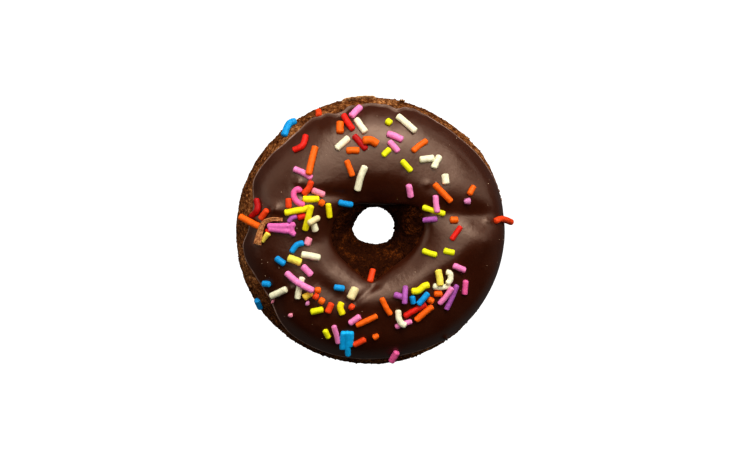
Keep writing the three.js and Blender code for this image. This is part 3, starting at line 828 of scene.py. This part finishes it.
def make_icing(coating):
    """The icing: a skin over the cake from its edge on the rim to its edge in the hole"""
    heading = np.arange(ICING_COLUMNS)[:, None] * 360 / ICING_COLUMNS
    outer, inner = icing_span(heading)
    even = np.linspace(0, 1, ICING_ROWS)[None, :]
    share = even + EDGE_CROWDING * ((1 - np.cos(np.pi * even)) / 2 - even)
    angle = outer + (inner - outer) * share
    from_rim, from_hole = (angle - outer) * MM_A_DEGREE, (inner - angle) * MM_A_DEGREE
    flare = within(heading, *SCALLOPED)
    lift = icing_lift(from_rim, from_hole, flare)
    top = ring_point(heading, angle, relief(heading, angle) + bumps(heading, angle, BUMPS) + lift)
    under = inner + (outer - inner) * np.linspace(0, 1, BED_ROWS + 2)[None, 1:-1]
    bed = ring_point(heading, under, relief(heading, under) + BED_LIFT)
    points = np.concatenate([top, bed], axis=1)
    free = smooth_step(np.minimum(from_rim, from_hole), 0, HOLE_LIP_WIDTH)
    # Painted highlight along the icing's outer edge, weaker where the edge flares
    thin = (1 - FLARE_HIGHLIGHT_CUT * flare) * (1 - smooth_step(from_rim, HIGHLIGHT_CORE * HIGHLIGHT_WIDTH, HIGHLIGHT_WIDTH))
    below = np.zeros_like(under)
    masks = {
        "free": np.concatenate([free, below], axis=1),
        "thin": np.concatenate([thin, below + 1], axis=1),
    }
    piece = piece_of("chocolate_icing", points, wrapped_faces(*points.shape[:2]), **masks)
    shape(piece, ripple_tree(), coating=coating, **ICING_RELIEF)
    return own(piece, "icing")


def make_flakes(coating):
    """Thin curled flakes of crust that stand off the rim"""
    chance = np.random.default_rng(11)
    for number, (start, end, reach) in enumerate(FLAKES, 1):
        columns = FLAKE_COLUMNS_A_DEGREE * max(round(end - start), FLAKE_LEAST_DEGREES)
        heading = np.linspace(start, end, columns)[:, None]
        share = (heading - start) / (end - start)
        uneven = np.interp(share, np.linspace(0, 1, RAGGED_SPOTS), chance.uniform(-1, 1, RAGGED_SPOTS))
        rounding = np.sqrt(np.clip(8 * share * (1 - share), 0, 1))
        out = reach * rounding * (1 - RAGGEDNESS + RAGGEDNESS * uneven)
        reached, side = np.transpose(FLAKE_SECTION)[:, None, :]
        distance = reached * out - FLAKE_ROOT * (reached == 0)
        curl = FLAKE_CURL * np.maximum(distance, 0) ** 2 + FLAKE_WAVE * uneven
        angle = FLAKE_TILT + side * FLAKE_THICKNESS / MM_A_DEGREE + curl
        points = ring_point(heading, angle, distance)
        bare = np.ones(points.shape[:2])
        piece = piece_of(f"crust_flake_{number}", points, tube_faces(*bare.shape), bare=bare)
        shape(piece, crumb_tree(), coating=coating, **FLAKE_RELIEF)
        own(piece, "cake")


def grain_tree(mask):
    """Small rough grains strewn over a surface, where the mask is 1"""
    sizes = {"Grains a square metre": FLOAT, "Least radius": FLOAT, "Most radius": FLOAT, "Seed": WHOLE}
    graph, given = shaping_tree("Grains", sizes)
    density = graph.field(mask) * given["Grains a square metre"]
    strewn = {"Mesh": given["Geometry"], "Density": density, "Seed": given["Seed"]}
    points = graph.node("GeometryNodeDistributePointsOnFaces", {}, strewn)["Points"]
    span = {"Min": given["Least radius"], "Max": given["Most radius"], "Seed": given["Seed"]}
    radius = graph.node("FunctionNodeRandomValue", {"data_type": "FLOAT"}, span)["Value"]
    turn = graph.node("FunctionNodeRandomValue", {"data_type": "FLOAT_VECTOR"}, {"Max": ANY_TURN})["Value"]
    ball = graph.node("GeometryNodeMeshIcoSphere", {}, {"Radius": 1.0, "Subdivisions": 1})["Mesh"]
    placed = {"Points": points, "Instance": ball, "Rotation": turn, "Scale": radius}
    grains = graph.node("GeometryNodeInstanceOnPoints", {}, placed)["Instances"]
    dent = (graph.noise(graph.position(), 0.5, 1) - 0.5) * given["Most radius"]
    return end_tree(graph, graph.raised(graph.realized(grains), dent), given)


def strew_grains(name, carrier, node, mask, coating, sizes):
    """Grains on a piece: crumbs on the cake, sugar dust on the icing"""
    piece = put_in_scene(name, carrier.data.copy())
    return own(shape(piece, grain_tree(mask), coating=coating, **sizes), node)


# ----------------------------------------
# Sprinkles
# ----------------------------------------
class Ground:
    """A surface that sprinkles are laid on"""

    def __init__(self, piece):
        mesh = piece.data
        points = np.empty(len(mesh.vertices) * 3, np.float32)
        mesh.vertices.foreach_get("co", points)
        points = points.reshape(-1, 3) / MM - (*RING_MIDDLE, 0)
        self.tree = BVHTree.FromPolygons(points.tolist(), [tuple(face.vertices) for face in mesh.polygons])

    def landing(self, x, y):
        """Where a line of sight through the plan meets the surface, and which way that faces"""
        spot = Vector((x, y, WAIST_HEIGHT))
        eye = Vector(EYE_POINT)
        point, facing, *_ = self.tree.ray_cast(eye, (spot - eye).normalized())
        if point is None:
            point, facing, *_ = self.tree.find_nearest(spot + Vector((0, 0, SIDE_HEIGHT)))
            past = max(spot.xy.length - point.xy.length, 0)
            outwards = spot.xy.normalized()
            point = point + Vector((*outwards, -OVERHANG_DROP)) * past
        return point, facing


def spread(points, count):
    """Evenly spaced points of a broken line, and how far along each given point is, as a share"""
    points = np.array(points, float)
    run = np.concatenate([[0], np.cumsum(np.linalg.norm(np.diff(points, axis=0), axis=1))])
    share = run / run[-1]
    at = np.linspace(0, 1, count)
    return np.stack([np.interp(at, share, points[:, k]) for k in range(3)], axis=1), share


def prop_up(rod, laid):
    """Lifts a rod off the ones it crosses: it tips about the end that is farthest from the crossing"""
    for lower in laid:
        here, share = spread(rod["points"], CROSSING_STEPS)
        there, _ = spread(lower["points"], CROSSING_STEPS)
        gaps = np.linalg.norm(here[:, None, :2] - there[None, :, :2], axis=-1)
        i, j = np.unravel_index(np.argmin(gaps), gaps.shape)
        touch = (rod["thickness"] + lower["thickness"]) / 2
        if gaps[i, j] > CROSSING_WIDTH * touch:
            continue
        need = there[j, 2] + STACKING * math.sqrt(touch**2 - gaps[i, j] ** 2) - here[i, 2]
        at = i / (CROSSING_STEPS - 1)
        pivot = 0 if at > 0.5 else 1
        if need > 0:
            for point, place in zip(rod["points"], share):
                point.z += need * min(abs(place - pivot) / abs(at - pivot), MOST_TIP)


def lay(row, ground, laid, chance, most_fall=MOST_FALL):
    """One sprinkle on the ground: a straight one keeps nearly straight, a bent one follows the ground"""
    thickness, *plan = row
    ends = thickness if isinstance(thickness, tuple) else (thickness, thickness)
    lift = max(ends) * (0.5 - SINK)
    spots = list(zip(plan[::2], plan[1::2]))
    points = [point + facing * lift for point, facing in (ground.landing(*spot) for spot in spots)]
    if len(points) == 2:
        low, high = sorted(points, key=lambda point: point.z)
        low.z = max(low.z, high.z - most_fall * (high - low).xy.length)
        middle, facing = ground.landing(*np.mean(spots, axis=0))
        halfway = (points[0] + points[1]) / 2
        bulge = max((middle + facing * lift - halfway).dot(facing), 0) * RAISE_SHARE
        points = [point + facing * bulge for point in points]
        run = points[1] - points[0]
        bow = facing.cross(run) * chance.normal(0, BOW_SHARE) + facing * bulge * ARCH_SHARE
        points.insert(1, halfway + facing * bulge + bow)
    rod = {"points": points, "thickness": max(ends), "ends": ends}
    prop_up(rod, laid)
    return rod


def rod_tree():
    """Sugar rods with blunt rounded ends, along broken lines whose points carry a thickness"""
    sizes = {"Step": FLOAT, "Bevel": FLOAT, "Blunt share": FLOAT, "Lump height": FLOAT}
    graph, given = shaping_tree("Sugar rods", sizes)
    line = graph.node("GeometryNodeMeshToCurve", {}, {"Mesh": given["Geometry"]})["Curve"]
    rounded = {"spline_type": "CATMULL_ROM"}
    curve = graph.node("GeometryNodeCurveSplineType", rounded, {"Curve": line})["Curve"]
    fine = {"Curve": curve, "Length": given["Step"]}
    curve = graph.node("GeometryNodeResampleCurve", {"mode": "LENGTH"}, fine)["Curve"]
    along = graph.node("GeometryNodeSplineParameter")["Length"]
    whole = graph.node("GeometryNodeSplineLength")["Length"]
    inwards = (along.least(whole - along) / (whole * SHORT_ROD_BEVEL).least(given["Bevel"])).least(1)
    rounding = (1 - (1 - inwards) * (1 - inwards)).most(0).root()
    blunt = given["Blunt share"]
    girth = graph.field("thickness") * 0.5 * (blunt + (1 - blunt) * rounding)
    circle = {"Resolution": ROD_SIDES, "Radius": 1.0}
    ring = graph.node("GeometryNodeCurvePrimitiveCircle", {}, circle)["Curve"]
    swept = {"Curve": curve, "Profile Curve": ring, "Scale": girth, "Fill Caps": True}
    body = graph.node("GeometryNodeCurveToMesh", {}, swept)["Mesh"]
    lumps = (graph.noise(graph.position(), 1.5, 3, 0.6) - 0.5) * given["Lump height"]
    return end_tree(graph, graph.raised(body, lumps), given)


def rod_piece(name, rods, coating, tree):
    """All the sprinkles of one colour, as one piece"""
    points, edges, thickness = [], [], []
    for rod in rods:
        first = len(points)
        points += rod["points"]
        _, share = spread(rod["points"], 2)
        thickness += list(np.interp(share, (0, 1), rod["ends"]) * MM)
        edges += [(k, k + 1) for k in range(first, len(points) - 1)]
    piece = piece_of(name, points, [], edges, thickness=thickness)
    return shape(piece, tree, coating=coating, **ROD_SIZES)


def fuse(piece):
    """Runs the rods of a clump together into one body"""
    remesh = piece.modifiers.new("Run together", "REMESH")
    remesh.mode, remesh.voxel_size, remesh.use_smooth_shade = "VOXEL", CLUMP_GRAIN * MM, True
    smooth = piece.modifiers.new("Soften", "SMOOTH")
    smooth.factor, smooth.iterations = CLUMP_SOFTENING
    coating = piece.data.materials[0]
    apply_modifiers(piece)
    if not piece.data.materials:
        piece.data.materials.append(coating)
    return piece


def strew_sprinkles(icing_ground, cake_ground):
    """Lays and makes all sprinkles, a colour at a time, and gives the rods that lie on the icing"""
    chance = np.random.default_rng(5)
    tree = rod_tree()
    coats = {tint: sugar_coat(tint, colour) for tint, colour in SUGAR.items()}
    lying = {tint: [lay(row, icing_ground, [], chance) for row in rows] for tint, rows in LYING.items()}
    clumps = {tint: [lay(row, icing_ground, [], chance) for row in rows] for tint, rows in CLUMPS.items()}
    laid = [rod for rods in (*lying.values(), *clumps.values()) for rod in rods]
    for tint, rows in PROPPED.items():
        for row in rows:
            rod = lay(row, icing_ground, laid, chance)
            lying.setdefault(tint, []).append(rod)
            laid.append(rod)
    for tint, rods in lying.items():
        own(rod_piece(tint + "_sprinkles", rods, coats[tint], tree), "icing")
    for tint, rods in clumps.items():
        own(fuse(rod_piece(tint + "_clump", rods, coats[tint], tree)), "icing")
    for tint, rows in ON_CAKE.items():
        rods = [lay(row, cake_ground, [], chance, STEEPEST_FALL) for row in rows]
        own(rod_piece(tint + "_sprinkles_on_cake", rods, coats[tint], tree), "cake")
    return laid


def smooth_along(share, values, at):
    """Values along a path, as a curve that rounds off the corners between the given ones"""
    fine = np.interp(at, share, values)
    padded = np.concatenate([[fine[0]] * CORNER_STEPS, fine, [fine[-1]] * CORNER_STEPS])
    kernel = np.hanning(2 * CORNER_STEPS + 1)
    return np.convolve(padded, kernel / kernel.sum(), "valid")


def make_caramel_flake(ground, laid, coating):
    """A folded, ridged flake of caramel that lies over the sprinkles"""
    flat_path = [number for spot in CARAMEL_PATH for number in spot]
    rod = lay((CARAMEL_THICKNESS, *flat_path), ground, laid, None)
    _, share = spread(rod["points"], 2)
    at = np.linspace(0, 1, CARAMEL_STEPS)
    steps = np.array(rod["points"])
    middle = np.stack([smooth_along(share, steps[:, k], at) for k in range(3)], axis=1)
    width = smooth_along(share, np.array(CARAMEL_WIDTHS), at)[:, None]
    run = np.gradient(middle, axis=0)
    across = np.cross(run, (0, 0, 1))
    across /= np.linalg.norm(across, axis=1, keepdims=True)
    turn = np.radians(np.arange(CARAMEL_SIDES) * 360 / CARAMEL_SIDES)[None, :]
    aside = np.cos(turn) * width / 2
    ridge = CARAMEL_RIDGE_HEIGHT * np.cos(2 * np.pi * CARAMEL_RIDGES * aside / width) * (np.sin(turn) > 0)
    taper = np.sqrt(np.clip(np.minimum(at, 1 - at) * CARAMEL_TAPERS, CARAMEL_LEAST_TAPER, 1))[:, None]
    up = (np.sin(turn) * CARAMEL_THICKNESS / 2 + ridge) * taper
    sideways = across[:, None, :] * aside[..., None]
    points = middle[:, None, :] + sideways + np.array([0, 0, 1]) * up[..., None]
    piece = piece_of("caramel_flake", points, tube_faces(*up.shape), bare=np.ones(up.shape))
    shape(piece, crumb_tree(), coating=coating, **CARAMEL_RELIEF)
    return own(piece, "icing")


# ----------------------------------------
# Finishes
# ----------------------------------------
def seen(colour):
    """A colour of 0 to 255, as seen, turned into the amounts of light that shaders use"""
    share = np.array(colour) / 255
    return tuple(np.where(share > 0.04045, ((share + 0.055) / 1.055) ** 2.4, share / 12.92).tolist())


def coating_of(name, build):
    """A material whose shader gets the sockets that build gives"""
    material = bpy.data.materials.new(name)
    graph = graph_of(material)
    place = graph.node("ShaderNodeTexCoord")["Object"]
    shader = graph.node("ShaderNodeBsdfPrincipled", {}, build(graph, place))["BSDF"]
    graph.node("ShaderNodeOutputMaterial", {}, {"Surface": shader})
    return material


def bump(graph, height, distance):
    """Fine relief that moves no faces, as deep as that many millimetres"""
    inputs = {"Strength": 1.0, "Distance": distance * MM, "Height": height}
    return graph.node("ShaderNodeBump", {}, inputs)["Normal"]


def crumb_coat():
    """Fried chocolate crumb: dark gaps, golden grains and a few pale specks, darker in places with painted
    shade
    """

    def build(graph, place):
        broad = graph.noise(place, 9, 2)
        grain = graph.noise(place, 0.95, 4, 0.7)
        fine = graph.noise(place, 0.3, 2, 0.6)
        gaps = graph.cells(place, 1.1).rise(0.36, 0.6)
        fried = graph.ramp(broad * 0.3 + grain * 0.7, FRIED_TONES)
        fried = graph.mix(gaps * 0.5, fried, GAP_TONE)
        specks = (1 - graph.cells(place, 0.9).rise(0.08, 0.2)) * graph.noise(place, 2.6, 1).rise(0.5, 0.62)
        fried = graph.mix(specks * 0.6, fried, SPECK_TONE)
        # Painted shade: a darker crumb, deepest in random patches, mixed in where the dark mask is set
        patches = graph.noise(place, 4.2, 3, 0.6).rise(0.46, 0.62)
        shaded_crumb = graph.ramp(fine * 0.5 + grain * 0.5, SHADED_CRUMB_TONES)
        shaded_crumb = graph.mix(patches * 0.8 + 0.2, DEEPEST_SHADE_TONE, shaded_crumb)
        return {
            "Base Color": graph.mix(graph.mask("dark"), fried, shaded_crumb),
            "Roughness": 0.72 + grain * 0.2,
            "Specular IOR Level": 0.05,
            "Normal": bump(graph, grain * 0.6 + fine * 0.3 - gaps * 0.25, 0.5),
        }

    return coating_of("fried_chocolate_crumb", build)


def icing_coat():
    """Set chocolate icing: satin, a little hazy and uneven in its gloss"""

    def build(graph, place):
        haze = graph.noise(place, 7, 2).rise(0.35, 0.7)
        fine = graph.noise(place, 0.8, 3, 0.6)
        base = graph.mix(haze, *ICING_TONES)
        motes = (1 - graph.cells(place, 2.2).rise(0.03, 0.09)) * graph.noise(place, 4, 1).rise(0.48, 0.6)
        base = graph.mix(motes * 0.5, base, MOTE_TONE)
        broken = graph.noise(place, 3, 2).rise(0.4, 0.6)
        # Painted highlight: the pale edge tone, broken up by noise, along the icing's outer edge
        base = graph.mix(graph.mask("thin") * (0.4 + broken * 0.5), base, EDGE_HIGHLIGHT_TONE)
        return {
            "Base Color": base,
            "Roughness": 0.26 + haze * 0.07 + fine * 0.05,
            "Specular IOR Level": 0.8,
            "Specular Tint": (*ICING_SHEEN, 1),
            "Normal": bump(graph, fine, 0.05),
        }

    return coating_of("satin_chocolate_icing", build)


def crust_coat():
    """Pale golden crust"""

    def build(graph, place):
        grain = graph.noise(place, 0.8, 3, 0.6)
        base = graph.mix(grain.rise(0.3, 0.7), *map(seen, CRUST_COLOURS))
        return {"Base Color": base, "Roughness": 0.75 + grain * 0.15, "Normal": bump(graph, grain, 0.2)}

    return coating_of("pale_golden_crust", build)


def caramel_coat():
    """Burnt sugar, streaked"""

    def build(graph, place):
        streak = graph.noise(place, 0.7, 3, 0.65)
        base = graph.mix(streak.rise(0.32, 0.68), *map(seen, CARAMEL_COLOURS))
        return {"Base Color": base, "Roughness": 0.35 + streak * 0.2, "Normal": bump(graph, streak, 0.12)}

    return coating_of("streaked_caramel", build)


def sugar_coat(tint, colour):
    """Coloured sugar: mottled, faintly grainy, with a dull shine"""
    light = np.array(seen(colour))

    def build(graph, place):
        mottle = graph.noise(place, 1.1, 3, 0.6).rise(0.3, 0.7)
        grain = graph.noise(place, 0.3, 2, 0.6)
        base = graph.mix(mottle, tuple(light * 0.85), tuple(np.minimum(light * 1.05 + 0.004, 1)))
        return {
            "Base Color": base,
            "Roughness": 0.42 + grain * 0.2,
            "Normal": bump(graph, grain, 0.05),
            "Specular IOR Level": 0.25,
        }

    return coating_of(tint + "_sugar", build)


# ----------------------------------------
# Floor, light and camera
# ----------------------------------------
def lay_floor():
    """A pale floor that is faintly bright of itself, so that it stays near white round the ring"""
    mesh = bpy.data.meshes.new("floor")
    corners = [(x * FLOOR_HALF, y * FLOOR_HALF, 0) for x, y in ((-1, -1), (1, -1), (1, 1), (-1, 1))]
    mesh.from_pydata(corners, [], [(0, 1, 2, 3)])
    material = bpy.data.materials.new("pale_floor")
    graph = graph_of(material)
    paint = graph.node("ShaderNodeBsdfDiffuse", {}, {"Color": (FLOOR_PAINT,) * 3 + (1,)})["BSDF"]
    glow = graph.node("ShaderNodeEmission", {}, {"Color": (1, 1, 1, 1), "Strength": 1.0})["Emission"]
    looked_at = graph.node("ShaderNodeLightPath")["Is Camera Ray"]
    share = FLOOR_BOUNCE + looked_at * (FLOOR_GLOW - FLOOR_BOUNCE)
    both = graph.node("ShaderNodeMixShader", {}, [share, paint, glow])["Shader"]
    graph.node("ShaderNodeOutputMaterial", {}, {"Surface": both})
    mesh.materials.append(material)
    put_in_scene("floor", mesh)


def light_sky():
    """A dim room that looks pale behind the ring"""
    world = bpy.data.worlds.new("room")
    graph = graph_of(world)
    looked_at = graph.node("ShaderNodeLightPath")["Is Camera Ray"]
    strength = ROOM_LIGHT + looked_at * (1 - ROOM_LIGHT)
    pale = {"Color": (1, 1, 1, 1), "Strength": strength}
    room = graph.node("ShaderNodeBackground", {}, pale)["Background"]
    graph.node("ShaderNodeOutputWorld", {}, {"Surface": room})
    bpy.context.scene.world = world


def aim(thing, place, target, up):
    """Puts a light or the camera somewhere, turned to a target"""
    back = (Vector(place) - Vector(target)).normalized()
    right = Vector(up).cross(back).normalized()
    top = back.cross(right)
    thing.matrix_world = Matrix.Translation(place) @ Matrix((right, top, back)).transposed().to_4x4()


def hang_lights():
    """Lamps round the ring that aren't seen themselves"""
    for name, (heading, down, distance, size, watts) in SOFT_LIGHTS.items():
        lamp = bpy.data.lights.new(name, "AREA")
        lamp.shape, lamp.size, lamp.size_y, lamp.energy = "RECTANGLE", *size, watts
        light = put_in_scene(name, lamp)
        light.visible_camera = False
        turn, fall = math.radians(heading), math.radians(down)
        towards = Vector((math.sin(fall) * math.cos(turn), math.sin(fall) * math.sin(turn), math.cos(fall)))
        aim(light, towards * distance, (0, 0, 0), (0, 0, 1))


def set_camera():
    """The camera at the eye point, looking down on the ring"""
    camera = put_in_scene("camera", bpy.data.cameras.new("camera"))
    camera.data.lens = LENS
    camera.data.sensor_width = SENSOR
    camera.data.clip_end = FARTHEST_SEEN
    eye = np.array(EYE_POINT) + (*RING_MIDDLE, 0)
    aim(camera, eye * MM, np.array(LOOK_AT) * MM, (0, 1, 0))
    bpy.context.scene.camera = camera


# ----------------------------------------
# The whole
# ----------------------------------------
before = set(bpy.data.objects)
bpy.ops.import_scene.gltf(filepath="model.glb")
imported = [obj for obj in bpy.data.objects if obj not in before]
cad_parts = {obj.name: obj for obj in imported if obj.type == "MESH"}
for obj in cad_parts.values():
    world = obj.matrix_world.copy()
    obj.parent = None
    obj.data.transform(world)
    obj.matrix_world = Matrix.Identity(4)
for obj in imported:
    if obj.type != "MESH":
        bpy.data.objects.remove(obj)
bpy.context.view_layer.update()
view = bpy.context.scene.view_settings
view.view_transform, view.look = "Standard", "Medium High Contrast"

set_camera()
light_sky()
hang_lights()
lay_floor()

crumb, crust = crumb_coat(), crust_coat()
cake = make_cake(crumb)
icing = make_icing(icing_coat())
make_flakes(crust)
icing_ground = Ground(icing)
laid = strew_sprinkles(icing_ground, Ground(cake))
make_caramel_flake(icing_ground, laid, caramel_coat())
strew_grains("crumbs", cake, "cake", "bare", crumb, CRUMBS)
strew_grains("sugar_dust", icing, "icing", "free", sugar_coat("dust", DUST_COLOUR), SUGAR_DUST)

bpy.context.view_layer.update()
